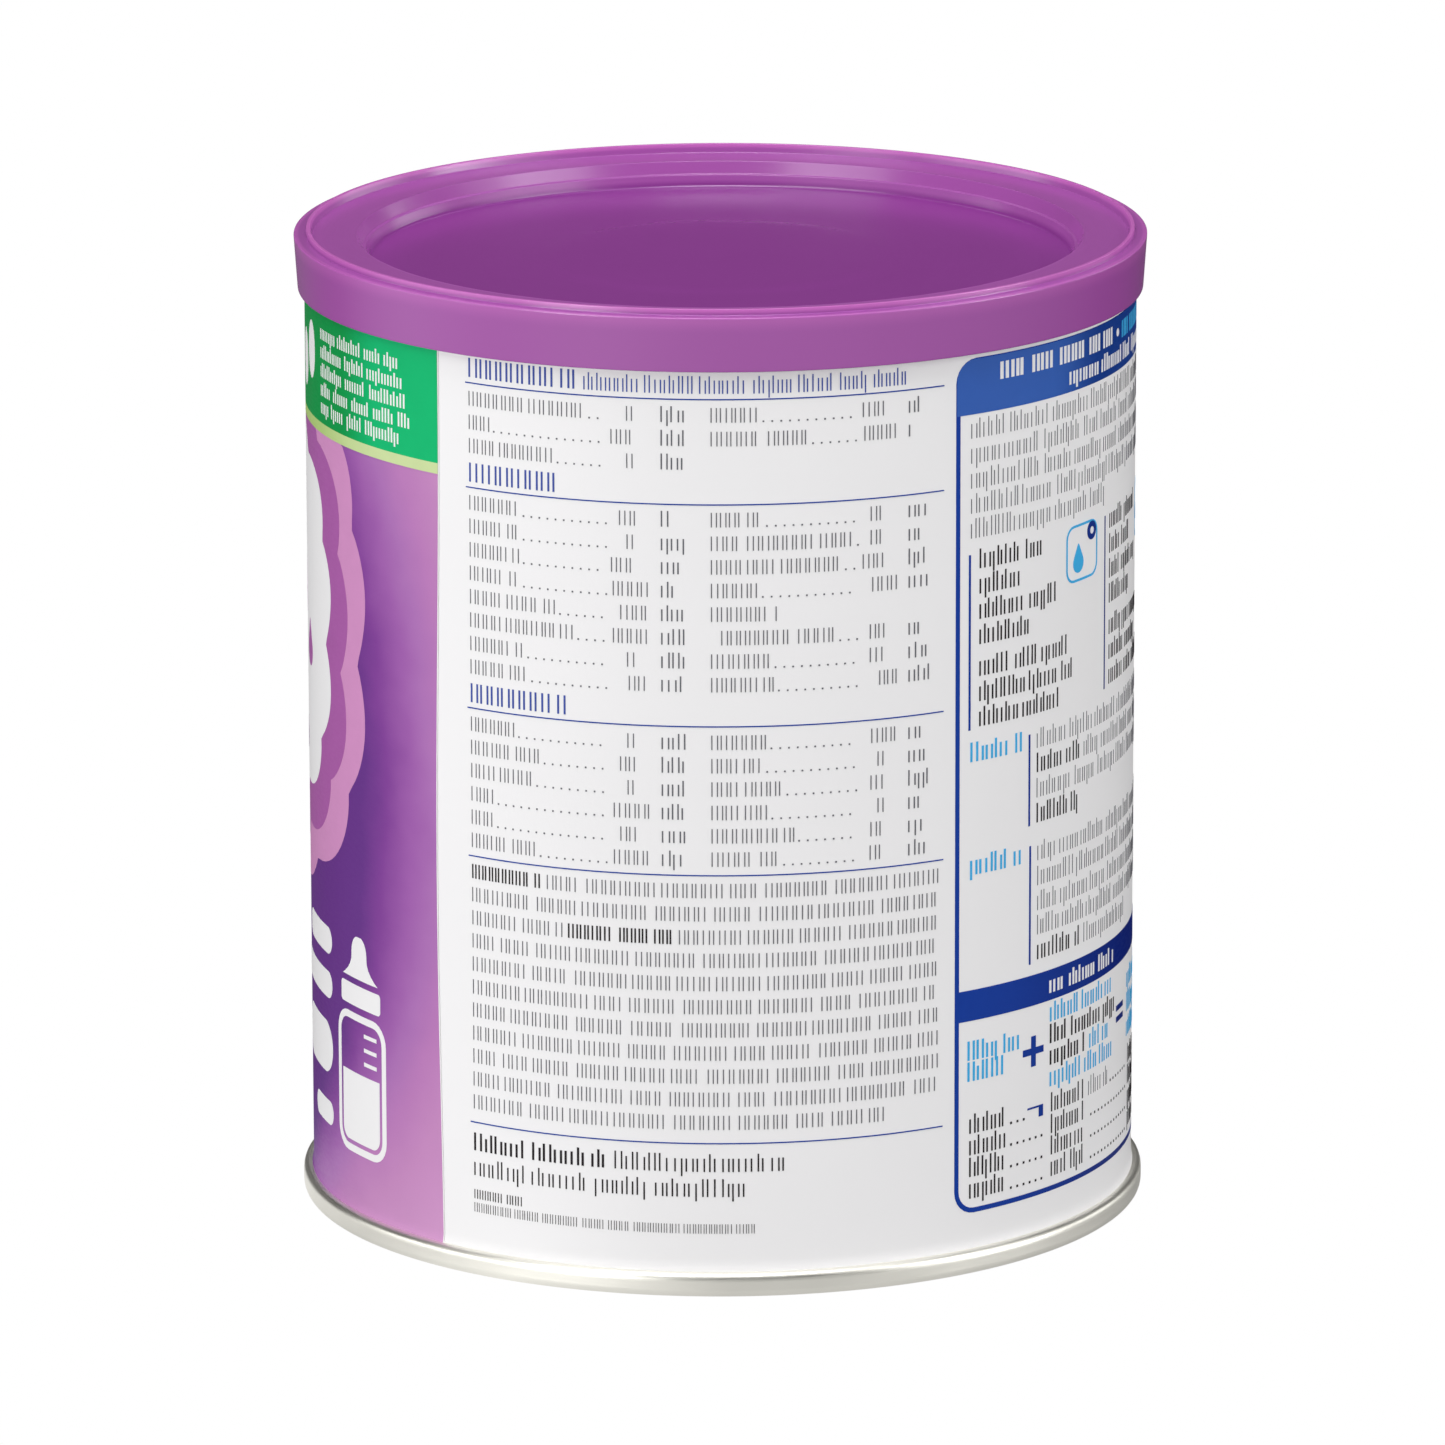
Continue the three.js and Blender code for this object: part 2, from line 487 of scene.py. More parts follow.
# A bar with round corners, at its foot and at its top
def roundedBar(sheet, left, right, bottom, top, footRound, topRound, level):
    steps = 7
    firstTurn = 8            # degrees round each corner before its first point
    turns = [firstTurn + (90 - firstTurn) * k / steps for k in range(steps + 1)]
    heights = [bottom + footRound * (1 - math.cos(math.radians(turn))) for turn in turns]
    heights += [top - topRound * (1 - math.cos(math.radians(turn))) for turn in turns[::-1]]
    if heights[steps + 1] - heights[steps] < 1e-3:
        heights.pop(steps)

    def cutBack(z):
        if z < bottom + footRound:
            return footRound - math.sqrt(max(footRound ** 2 - (bottom + footRound - z) ** 2, 0))
        if z > top - topRound:
            return topRound - math.sqrt(max(topRound ** 2 - (z - top + topRound) ** 2, 0))
        return 0

    area(sheet, lambda z: left + cutBack(z), lambda z: right - cutBack(z), heights, level)


def disc(sheet, u, z, radius, level):
    roundedBar(sheet, u - radius, u + radius, z - radius, z + radius, radius, radius, level)


# A path round a box with round corners
def boxPath(left, right, bottom, top, rounding):
    path = []
    near, far, low, high = left + rounding, right - rounding, bottom + rounding, top - rounding
    steps = max(3, math.ceil(rounding * 1.6 / ink["column"]) + 2)  # 1.6: about a quarter turn, in radii
    for cornerU, cornerZ, start in ((far, low, -90), (far, high, 0), (near, high, 90), (near, low, 180)):
        for k in range(steps + 1):
            angle = math.radians(start + 90 * k / steps)
            path.append((cornerU + rounding * math.cos(angle), cornerZ + rounding * math.sin(angle)))
    return spaced(path)


# Adds points where a closed path has long stretches
def spaced(path):
    close = []
    for (u0, z0), (u1, z1) in zip(path, path[1:] + path[:1]):
        parts = max(1, math.ceil(abs(u1 - u0) / ink["column"]))
        close += [(u0 + (u1 - u0) * k / parts, z0 + (z1 - z0) * k / parts) for k in range(parts)]
    return close


# A line of even width along a closed path
def lineAlong(sheet, path, width, level):
    grid = []
    for k, (u, z) in enumerate(path):
        (u0, z0), (u1, z1) = path[k - 1], path[(k + 1) % len(path)]
        length = math.hypot(u1 - u0, z1 - z0)
        outU, outZ = (z1 - z0) / length * width / 2, -(u1 - u0) / length * width / 2
        grid.append([(u - outU, z - outZ), (u + outU, z + outZ)])
    addSlab(sheet, grid, level, closed=True)


# Fills a closed path that its centre sees all of
def fillPath(sheet, path, centre, level):
    reach = max(abs(u - centre[0]) for u, z in path)
    rings = max(1, math.ceil(reach / ink["column"]))
    addSlab(sheet, [[(centre[0] + (u - centre[0]) * k / rings, centre[1] + (z - centre[1]) * k / rings)
                     for k in range(rings + 1)] for u, z in path], level, closed=True)


# Rows of fine upright ticks keep the rhythm and grey of small print, with nothing in them
# to read. They mostly stand in pairs: narrow gaps between pairs, wider ones inside them.
def tickWord(sheet, look, start, end, baseline, level):
    at, inside = start + look["tick"] / 2, True
    while at < end - look["tick"] / 2 + 0.01:
        high, low = look["height"], 0
        if printDraw.random() < look["short"]:
            high *= look["shortHeight"]
            low = -look["hang"] * look["height"] if printDraw.random() < look["hanging"] else 0
        tick(sheet, (at, baseline + low), (at, baseline + high), look["tick"], level)
        at += look["tick"] + printDraw.uniform(*look["inside" if inside else "between"])
        inside = not inside or printDraw.random() < look["odd"]


def tickRow(sheet, look, start, end, baseline, level):
    at = start
    while at < end - look["tick"]:
        stop = min(at + printDraw.uniform(*look["word"]), end)
        if end - stop < look["space"] + look["inside"][1]:
            stop = end
        tickWord(sheet, look, at, stop, baseline, level)
        at = stop + look["space"]


def printRow(sheet, look, row, level=3):
    baseline, start, end = row
    tickRow(sheet, look, start, end, baseline, level)


def leader(sheet, start, end, baseline, level, pitch=1.05, size=0.2):
    for k in range(int((end - start) / pitch) + 1):
        at = start + k * pitch
        addSlab(sheet, [[(at, z), (at + size, z)] for z in (baseline, baseline + size)], level)


capitals = {"height": 1.75, "tick": 0.125, "inside": (0.46, 0.62), "between": (0.28, 0.38), "odd": 0.25,
            "word": (3.0, 8.5), "space": 0.75, "short": 0.0, "shortHeight": 1.0,
            "hang": 0.0, "hanging": 0.1}
heading = {**capitals, "height": 2.3, "tick": 0.25, "inside": (0.56, 0.76), "between": (0.3, 0.42),
           "word": (9.0, 14.0)}
subHeading = {**capitals, "height": 2.1, "tick": 0.15, "inside": (0.38, 0.54), "between": (0.24, 0.34),
              "word": (3.0, 8.0), "short": 0.7, "shortHeight": 0.76, "hang": 0.25}
boldCapitals = {**capitals, "tick": 0.2, "inside": (0.26, 0.38), "between": (0.17, 0.24)}
sentence = {**subHeading, "height": 2.4, "tick": 0.115, "inside": (0.48, 0.7), "between": (0.3, 0.4),
            "shortHeight": 0.74}
boldSentence = {**sentence, "tick": 0.235, "inside": (0.44, 0.6), "between": (0.25, 0.34)}
skySentence = {**boldSentence, "tick": 0.32}
bannerCapitals = {**boldCapitals, "height": 2.1, "tick": 0.52, "inside": (0.3, 0.42)}
bannerSentence = {**boldSentence, "height": 2.1, "tick": 0.43, "inside": (0.32, 0.46),
                  "between": (0.17, 0.24)}
smallCapitals = {**capitals, "height": 1.15, "tick": 0.07, "inside": (0.26, 0.36), "between": (0.18, 0.25),
                 "word": (2.0, 6.0), "space": 0.5}
unitSentence = {**sentence, "height": 1.9, "tick": 0.17}
footSentence = {**sentence, "height": 2.2, "tick": 0.185}
boldFootSentence = {**boldSentence, "height": 2.2, "tick": 0.285}
darkCapitals = {**smallCapitals, "tick": 0.12}
noteCapitals = {**smallCapitals, "height": 1.4}
headerSentence = {**boldSentence, "height": 2.0}
bandSentence = {**boldSentence, "height": 1.75, "tick": 0.3, "inside": (0.28, 0.38)}


# Nutrition panel
facts = {
    "left": -32.3, "right": 27.7, "textLeft": -31.8, "textRight": 27.0, "ruleWidth": 0.15,
    "rules": (109.4, 96.75, 69.9, 51.75, 18.8),
    "rowDrop": 2.85,
    "leftEnds": (-10.2, -8.6),      # where the first column's amounts end, whole and with a fraction
    "leftUnits": -7.1,
    "rightNames": -1.2, "rightEnds": (19.9, 21.5), "rightUnits": 22.9,
    "blocks": (                     # first baseline, then the widths of the names, first column and second
        (106.65, (15.5, 3.0, 11.5), (5.6, 11.5)),
        (94.05, (7.0, 7.0, 7.0, 7.0, 11.7, 14.0, 7.5, 8.0), (6.0, 17.0, 15.5, 5.5, 8.3, 13.6, 7.0, 7.4)),
        (67.1, (6.2, 9.6, 8.6, 3.3, 3.2, 9.0), (6.5, 6.0, 8.4, 6.6, 9.8, 8.0)),
    ),
    "headings": ((110.1, -17.2), (97.45, -19.5), (70.6, -18.7)),
    "turnedOver": (1, 4),           # a name over two rows: its block and row in the second column
    "indent": 1.2,
    "headingGap": 0.8, "subHeadingEnd": 22.8,
    "fractions": 0.35, "fractionWidth": 1.4,             # this share of the amounts has a fraction
    "amounts": (1.0, 1.9, 2.0, 2.9), "unitWidths": (0.9, 1.9, 2.9, 2.9),
    "leaderStart": 0.5, "leaderStop": 3.6, "leaderGap": 0.8,
    "paragraph": 49.0, "paragraphRows": 11, "paragraphEnd": 20.0,
    "boldRuns": {0: (0.0, 9.6), 2: (13.1, 25.9)},        # rows of it with a bold run, and where it stands
    "boldGap": 0.8, "plainGap": 0.7,
    "footTitle": (15.3, -31.8, -14.0), "footRows": ((15.3, -13.0, 8.0), (12.2, -31.8, 2.8)),
    "lastRows": ((9.3, -31.8, -24.8), (7.65, -31.8, 4.2)),
}


def printFacts(grey, dark, blue, pale):
    s = facts
    left = s["textLeft"]
    for z in s["rules"]:
        bar(blue, s["left"], s["right"], z - s["ruleWidth"] / 2, z + s["ruleWidth"] / 2, 3)
    for z, end in s["headings"]:
        tickRow(pale, heading, left, end, z, 3)
    firstLine, firstEnd = s["headings"][0]
    tickRow(pale, subHeading, firstEnd + s["headingGap"], s["subHeadingEnd"], firstLine, 3)
    for block, (firstBaseline, leftNames, rightNames) in enumerate(s["blocks"]):
        for names, nameStart, ends, unitStart in (
                (leftNames, left, s["leftEnds"], s["leftUnits"]),
                (rightNames, s["rightNames"], s["rightEnds"], s["rightUnits"])):
            second = names is rightNames
            for row, width in enumerate(names):
                z = firstBaseline - row * s["rowDrop"]
                start = nameStart
                if second and (block, row - 1) == s["turnedOver"]:
                    start += s["indent"]
                tickRow(grey, capitals, start, start + width, z, 3)
                if second and (block, row) == s["turnedOver"]:
                    continue
                fraction = printDraw.random() < s["fractions"]
                end = ends[1] if fraction else ends[0]
                amount = printDraw.choice(s["amounts"]) + (s["fractionWidth"] if fraction else 0)
                tickWord(grey, capitals, end - amount, end, z, 3)
                leader(grey, start + width + s["leaderStart"],
                       min(ends[0] - s["leaderStop"], end - amount - s["leaderGap"]), z, 3)
                tickWord(grey, unitSentence, unitStart, unitStart + printDraw.choice(s["unitWidths"]), z, 3)
    for row in range(s["paragraphRows"]):
        z = s["paragraph"] - row * s["rowDrop"]
        last = row == s["paragraphRows"] - 1
        start = left
        if row in s["boldRuns"]:
            boldStart, boldEnd = s["boldRuns"][row]
            if boldStart:
                tickRow(grey, capitals, left, left + boldStart - s["plainGap"], z, 3)
            tickRow(dark, boldCapitals, left + boldStart, left + boldEnd, z, 3)
            start = left + boldEnd + s["boldGap"]
        tickRow(grey, capitals, start, s["paragraphEnd"] if last else s["textRight"], z, 3)
    printRow(dark, boldFootSentence, s["footTitle"])
    for row in s["footRows"]:
        printRow(dark, footSentence, row)
    for look, row in zip((darkCapitals, smallCapitals), s["lastRows"]):
        printRow(dark, look, row)


# A feeding bottle; every size is a share of its height or of its body's width
bottle = {
    "body": 0.62, "wide": 0.42, "round": 0.09,
    "collarFoot": 0.05, "collarTop": 0.15, "collarHalf": 0.44, "collarRound": 0.02,
    "teatFoot": 0.18, "neckHalf": 0.17, "teatSpread": 0.22, "teatRound": 2.6,
    "waist": 0.5,             # share of the teat's height where its foot ends and its dome starts
    "teatSteps": (0, 0.08, 0.18, 0.3, 0.42, 0.5, 0.6, 0.7, 0.8, 0.88, 0.94, 0.98),
    "milk": 0.36, "milkRound": 0.06, "milkInset": 1.1,
    "marks": (0.41, 0.475, 0.54), "markStart": 0.1, "markEnd": 0.36, "markThick": 0.018,
}


def bottleMark(sheet, u, z, tall, level, line):
    s = bottle
    wide = s["wide"] * tall
    bodyTop = z + s["body"] * tall
    lineAlong(sheet, boxPath(u - wide / 2, u + wide / 2, z, bodyTop, s["round"] * tall), line, level)
    collarHalf, collarRound = s["collarHalf"] * wide, s["collarRound"] * tall
    roundedBar(sheet, u - collarHalf, u + collarHalf, bodyTop + s["collarFoot"] * tall,
               bodyTop + s["collarTop"] * tall, collarRound, collarRound, level)
    teatFoot, teatTop = bodyTop + s["teatFoot"] * tall, z + tall
    heights = [teatFoot + (teatTop - teatFoot) * share for share in s["teatSteps"]]

    def teatHalf(height):
        share = (height - teatFoot) / (teatTop - teatFoot)
        if share < s["waist"]:
            return wide * (s["neckHalf"] + s["teatSpread"] * (1 - share / s["waist"]) ** 2)
        dome = ((share - s["waist"]) / (1 - s["waist"])) ** s["teatRound"]
        return wide * s["neckHalf"] * math.sqrt(max(0, 1 - dome))

    area(sheet, lambda h: u - teatHalf(h), lambda h: u + teatHalf(h), heights, level)
    inset = line * s["milkInset"]
    roundedBar(sheet, u - wide / 2 + inset, u + wide / 2 - inset, z + inset, z + s["milk"] * tall,
               s["milkRound"] * tall, ink["square"], level)
    for share in s["marks"]:
        mark = z + share * tall
        bar(sheet, u + s["markStart"] * wide, u + s["markEnd"] * wide, mark,
            mark + s["markThick"] * tall, level)


# A drop: the radius of its round part, as a share of its height, and how its sides draw in above it
drop = {"points": 24, "bulge": 0.34, "pinch": 0.55, "pull": 3}


def dropPath(u, z, tall):
    bulge = drop["bulge"] * tall
    path = []
    for k in range(drop["points"]):
        angle = 2 * math.pi * k / drop["points"] - math.pi / 2
        pull = max(0, math.sin(angle)) ** drop["pull"]
        path.append((u + bulge * math.cos(angle) * (1 - drop["pinch"] * pull),
                     z + bulge + bulge * math.sin(angle) + pull * (tall - 2 * bulge)))
    return path


def dropMark(sheet, u, z, tall, middle, level):
    fillPath(sheet, dropPath(u, z, tall), (u, middle), level)


# A scoop: a cup on the left, with its handle level with its rim
scoop = {"cupDeep": 0.34, "cupRound": 0.12, "gap": 0.02, "handleFoot": 0.25, "handleRound": 0.02}


def scoopMark(sheet, u, z, wide, level):
    s = {name: share * wide for name, share in scoop.items()}
    roundedBar(sheet, u - wide / 2, u - s["gap"], z, z + s["cupDeep"], s["cupRound"], ink["square"], level)
    roundedBar(sheet, u + s["gap"], u + wide / 2, z + s["handleFoot"], z + s["cupDeep"],
               s["handleRound"], s["handleRound"], level)


# The picture of a step: a drop, then a scoop, then a bottle, each as its place and its size
def stepMark(sheet, step, u, marks):
    shift, z, size = marks[("drop", "scoop", "bottle")[step]]
    if step == 0:
        dropMark(sheet, u + shift, z, size, marks["dropMiddle"], 3)
    elif step == 1:
        scoopMark(sheet, u + shift, z, size, 3)
    else:
        bottleMark(sheet, u + shift, z, size, 3, marks["line"])


# Directions panel, framed in blue: three columns of steps over a storage list and a mixing table.
# Rows of print are given as baseline, start and end.
directions = {
    "left": 29.4, "right": 112.6, "bottom": 7.3, "top": 112.2, "rounding": 2.6, "line": 0.62,
    "headerBottom": 105.4, "headerInset": 0.1, "barBottom": 31.2, "barTop": 35.0, "ruleWidth": 0.3,
    "textLeft": 31.6, "textRight": 109.5,
    "title": (109.1, 36.0, 60.3), "titleDot": (62.3, 110.1, 0.5), "titleEnd": (109.1, 64.0, 92.0),
    "subtitle": (106.3, 48.7, 92.0),
    "intro": 102.5, "introRow": 3.03, "introEnds": (109.0, 108.0, 109.5, 107.0, 58.0),
    "columns": (31.45, 58.2, 84.95), "columnBottom": 67.0, "columnTop": 88.4,
    "columnText": 1.45, "columnFirst": 86.6, "columnRow": 3.08,
    "columnBreak": 0.8, "columnBreakRow": 3,      # the rows after this one stand a little lower
    "columnWidths": ((10.8, 6.8, 13.3, 8.1, 15.8, 17.1, 14.1), (12.4, 9.0, 13.0, 8.8, 16.0, 13.4, 17.6),
                     (11.8, 8.4, 12.6, 7.2, 14.0, 16.0, 9.0)),
    "icon": 16.95, "iconWide": 7.3, "iconBottom": 82.0, "iconTop": 88.7, "iconRound": 1.5, "iconLine": 0.3,
    "iconDot": (5.9, 87.5, 1.15), "iconEye": 0.45,
    "marks": {"drop": (2.6, 82.9, 3.6), "dropMiddle": 84.2, "scoop": (3.2, 84.0, 4.4),
              "bottle": (2.8, 82.8, 5.0), "line": 0.26},
    "lists": (                                    # rules' top and bottom, where they stand, and baselines
        (64.9, 53.6, 41.2, (63.0, 60.0, 56.9, 53.8)),
        (51.1, 36.4, 41.4, (49.1, 46.0, 42.9, 39.9, 36.8)),
    ),
    "listHeadEnd": 39.9, "listHeadRise": 0.1, "listText": 1.35, "listRagged": 3,
    "listBold": 8.9, "listBoldStep": 10.0, "listLastEnd": 14,
    "barPrint": (32.1, 45.1, 62.2),
    "waterRows": ((26.3, 31.3, 40.0), (23.7, 31.3, 37.1)),
    "plus": ((40.25, 44.05, 25.08, 25.93, 3), (41.725, 42.575, 23.6, 27.4, 4)),
    "powderRows": ((28.5, 45.3, 61.2), (25.8, 45.3, 62.5), (23.1, 45.3, 53.6), (20.4, 45.3, 61.8)),
    "powderEnd": (23.1, 54.4, 60.0),
    "equals": (63.4, 66.7), "equalsHeights": (25.35, 23.95), "equalsThick": 0.7,
    "feedRows": ((27.0, 69.0, 84.0), (23.9, 69.0, 80.0), (20.8, 69.0, 86.0)),
    "bottle": (98.0, 12.0, 15.0), "bottleLine": 0.5,
    "bentMark": ((41.1, 43.3, 18.3, 18.55, 3), (43.2, 44.0, 17.1, 18.55, 4)),
    "tableHeights": (17.2, 14.5, 11.8, 9.1),
    "tableColumns": ((31.6, 37.4), (45.6, 53.2), (70.0, 76.0)), "tableRagged": 3,
    "tableNote": (54.2, 60.0),                    # stands in its first row alone
    "tableDots": ((38.1, 43.9), (54.8, 68.5)), "firstDots": ((38.1, 40.4), (61.0, 68.5)),
    "dotPitch": 1.1, "dotSize": 0.3,
}


def printSteps(grey, dark, blue, banner, sky, white):
    s = directions
    left, line, rule = s["textLeft"], s["line"], s["ruleWidth"] / 2
    lineAlong(blue, boxPath(s["left"] + line / 2, s["right"] - line / 2, s["bottom"] + line / 2,
                            s["top"] - line / 2, s["rounding"]), line, 2)
    roundedBar(banner, s["left"] + s["headerInset"], s["right"] - s["headerInset"], s["headerBottom"],
               s["top"] - s["headerInset"], ink["square"], s["rounding"], 3)
    bar(blue, s["left"] + line, s["right"] - line, s["barBottom"], s["barTop"], 3)
    printRow(white, bannerCapitals, s["title"], 4)
    disc(white, *s["titleDot"], 4)
    printRow(sky, bannerCapitals, s["titleEnd"], 4)
    printRow(white, bannerSentence, s["subtitle"], 4)
    for row, end in enumerate(s["introEnds"]):
        tickRow(grey, sentence, left, end, s["intro"] - s["introRow"] * row, 3)

    for k, (columnLeft, widths) in enumerate(zip(s["columns"], s["columnWidths"])):
        bar(blue, columnLeft - rule, columnLeft + rule, s["columnBottom"], s["columnTop"], 3)
        start = columnLeft + s["columnText"]
        for row, width in enumerate(widths):
            z = s["columnFirst"] - s["columnRow"] * row - s["columnBreak"] * (row > s["columnBreakRow"])
            tickRow(dark, boldSentence, start, start + width, z, 3)
        iconLeft = columnLeft + s["icon"]
        dotLeft, dotUp, dotSize = s["iconDot"]
        lineAlong(sky, boxPath(iconLeft, iconLeft + s["iconWide"], s["iconBottom"], s["iconTop"],
                               s["iconRound"]), s["iconLine"], 3)
        disc(blue, iconLeft + dotLeft, dotUp, dotSize, 4)
        disc(white, iconLeft + dotLeft, dotUp, s["iconEye"], 5)
        stepMark(sky, k, iconLeft, s["marks"])

    for k, (top, bottom, divider, baselines) in enumerate(s["lists"]):
        tickRow(sky, skySentence, left, s["listHeadEnd"], baselines[0] + s["listHeadRise"], 3)
        bar(blue, divider - rule, divider + rule, bottom, top, 3)
        for row, z in enumerate(baselines):
            start, end = divider + s["listText"], s["textRight"] - printDraw.uniform(0, s["listRagged"])
            last = row == len(baselines) - 1
            if last or (k, row) == (0, 1):
                tickRow(dark, boldSentence, start, start + s["listBold"], z, 3)
                start += s["listBoldStep"]
            if last:
                end = start + k * s["listLastEnd"]
            tickRow(grey, sentence, start, end, z, 3)

    printRow(white, bannerSentence, s["barPrint"], 4)
    for row in s["waterRows"]:
        printRow(sky, skySentence, row)
    for mark in s["plus"]:
        bar(blue, *mark)
    for row, sheet in zip(s["powderRows"], (sky, dark, dark, sky)):
        printRow(sheet, skySentence, row)
    printRow(sky, skySentence, s["powderEnd"])
    for z in s["equalsHeights"]:
        bar(blue, *s["equals"], z, z + s["equalsThick"], 3)
    for row in s["feedRows"]:
        printRow(sky, skySentence, row)
    bottleMark(sky, *s["bottle"], 3, s["bottleLine"])
    for mark in s["bentMark"]:
        bar(blue, *mark)
    amounts, spoons, results = s["tableColumns"]
    for row, z in enumerate(s["tableHeights"]):
        dots = s["tableDots"] if row else s["firstDots"]
        tickRow(dark, boldSentence, *amounts, z, 3)
        leader(dark, *dots[0], z, 3, s["dotPitch"], s["dotSize"])
        tickRow(dark, boldSentence, *spoons, z, 3)
        if row == 0:
            tickRow(grey, sentence, *s["tableNote"], z, 3)
        leader(dark, *dots[1], z, 3, s["dotPitch"], s["dotSize"])
        tickRow(dark, boldSentence, results[0], results[1] + printDraw.uniform(0, s["tableRagged"]), z, 3)


# Third panel, behind: a feeding table with a heading, and a few plain marks
feeding = {
    "left": 117.0, "right": 160.0, "top": 92.0, "rows": 7, "rowHeight": 6.0, "columns": 3,
    "headerHeight": 7.0, "line": 0.25,
    "title": 104.0, "titleWidth": 24, "intro": 99.6, "introRow": 3.1, "introStep": 4,
    "cellStart": 1.6, "headerSpare": 3.6, "headerDrop": 4.4, "cellRise": 2.0, "cellLeast": 4,
    "boxes": (123.5, 138.5, 153.5), "boxHalf": 5.5, "boxBottom": 24.0, "boxTop": 37.0,
    "boxRound": 2.2, "boxLine": 0.4,
    "marks": {"drop": (0, 26.0, 8.5), "dropMiddle": 29.0, "scoop": (0, 29.0, 8.0),
              "bottle": (0, 25.5, 10.0), "line": 0.45},
    "note": 18.5, "noteRow": 2.4, "noteEnds": (160.0, 160.0, 160.0, 154.0),
}


def printFeeding(grey, dark, blue, pale, sky, white):
    s = feeding
    left, right, half = s["left"], s["right"], s["line"] / 2
    tickRow(pale, heading, left, left + s["titleWidth"], s["title"], 3)
    for k in range(2):
        tickRow(grey, sentence, left, right - s["introStep"] * k, s["intro"] - s["introRow"] * k, 3)
    headerBottom = s["top"] - s["headerHeight"]
    bar(blue, left, right, headerBottom, s["top"], 3)
    tableBottom = headerBottom - s["rows"] * s["rowHeight"]
    for k in range(s["rows"] + 1):
        z = tableBottom + k * s["rowHeight"]
        bar(blue, left, right, z - half, z + half, 3)
    columnWidth = (right - left) / s["columns"]
    for k in range(s["columns"] + 1):
        u = left + k * columnWidth
        bar(blue, u - half, u + half, tableBottom, s["top"], 2)
    for k in range(s["columns"]):
        u = left + k * columnWidth + s["cellStart"]
        tickRow(white, headerSentence, u, u + columnWidth - s["headerSpare"], s["top"] - s["headerDrop"], 4)
        for row in range(s["rows"]):
            z = headerBottom - (row + 1) * s["rowHeight"] + s["cellRise"]
            end = u + printDraw.uniform(s["cellLeast"], columnWidth - s["cellLeast"])
            tickRow(dark, boldSentence, u, end, z, 3)
    for k, u in enumerate(s["boxes"]):
        lineAlong(sky, boxPath(u - s["boxHalf"], u + s["boxHalf"], s["boxBottom"], s["boxTop"],
                               s["boxRound"]), s["boxLine"], 3)
        stepMark(sky, k, u, s["marks"])
    for k, end in enumerate(s["noteEnds"]):
        tickRow(grey, noteCapitals, left, end, s["note"] - s["noteRow"] * k, 3)


# Front panel: a violet ground with a scalloped badge, under a green band
front = {
    "middle": -94.4,
    "left": -151.9,
    "edge": 0.14,            # bare paper along the cut
    "groundTop": 97.9,
    "limeBottom": 97.7, "limeTop": 99.0,
    "bandTop": 113.4,
    "badgeUp": 73.5, "badgeWide": 33.0, "badgeHigh": 24.0, "badgeSquareness": 3.0,
    "lobes": 16, "lobeDepth": 2.3, "lobeSpokes": 14, "lobePower": 0.8, "lobeLevel": 0.6,
    # each layer of the badge: its ink, its margin and the turn of its lobes
    "layers": (("pink", 9.8, 0.4), ("mauve", 5.2, 0.9), ("white", 0, 0.4)),
    "groundFoot": 0.02, "footRows": 5, "rowStep": 3, "limeStep": 1.3,
    "badgeBottle": (63.0, 29.0), "badgeBottleLine": 1.1,
    "drops": ((15.0, 72.0, 9.0, 75.0), (22.5, 67.0, 6.0, 69.0)),
    "badgeBarHalf": 19, "badgeBar": (55.5, 59.3), "badgeBarRound": 1.9,
    "bottle": (-53.2, 10.5, 27.0), "bottleLine": 0.9,
    # white bars: their foot, their height, where the right ones start and where the left ones end
    "bars": ((33.0, 3.4, -74.0, -112.0), (27.4, 3.4, -79.0, -107.0), (17.8, 6.6, -76.0, -110.0),
             (11.4, 3.0, -70.0, -116.0)),
    "barsRight": -61.5, "barsLeft": -145.0,
    "dotPitch": 7.0, "dotUp": 20.0, "dotRadius": 2.0,
    "bandLeft": -63.5,
    "bandRows": ((109.3, -43.5), (107.0, -42.5), (104.7, -42.0), (102.4, -41.2), (100.2, -43.0)),
    "leaf": (-70.5, 106.2), "leafApart": (2.3, 0.9), "leafHalf": (1.9, 3.6), "leafPoints": 20,
    "bandBars": ((108.6, -112.0, -82.0), (103.2, -106.0, -88.0)), "bandBarHeight": 2.6,
}


def frontRight(z):
    return cutEdgeAt(z) - front["edge"]


def frontLeft(z):
    return front["left"]


# Outline of the badge, grown by a margin, with its lobes turned a little in each layer
def badgePath(margin, turn):
    s = front
    path = []
    spokes = s["lobes"] * s["lobeSpokes"]
    power = s["badgeSquareness"]
    for k in range(spokes):
        angle = 2 * math.pi * k / spokes
        aside = abs(math.cos(angle)) / (s["badgeWide"] + margin)
        upward = abs(math.sin(angle)) / (s["badgeHigh"] + margin)
        reach = (aside ** power + upward ** power) ** (-1 / power)
        lobe = abs(math.sin(s["lobes"] * angle / 2 + turn))
        reach += s["lobeDepth"] * (lobe ** s["lobePower"] - s["lobeLevel"])
        u, z = s["middle"] + reach * math.cos(angle), s["badgeUp"] + reach * math.sin(angle)
        path.append((u, min(z, s["groundTop"])))
    return path


def groundHeights(bottom, top, step):
    count = math.ceil((top - bottom) / step)
    return [bottom + (top - bottom) * k / count for k in range(count + 1)]


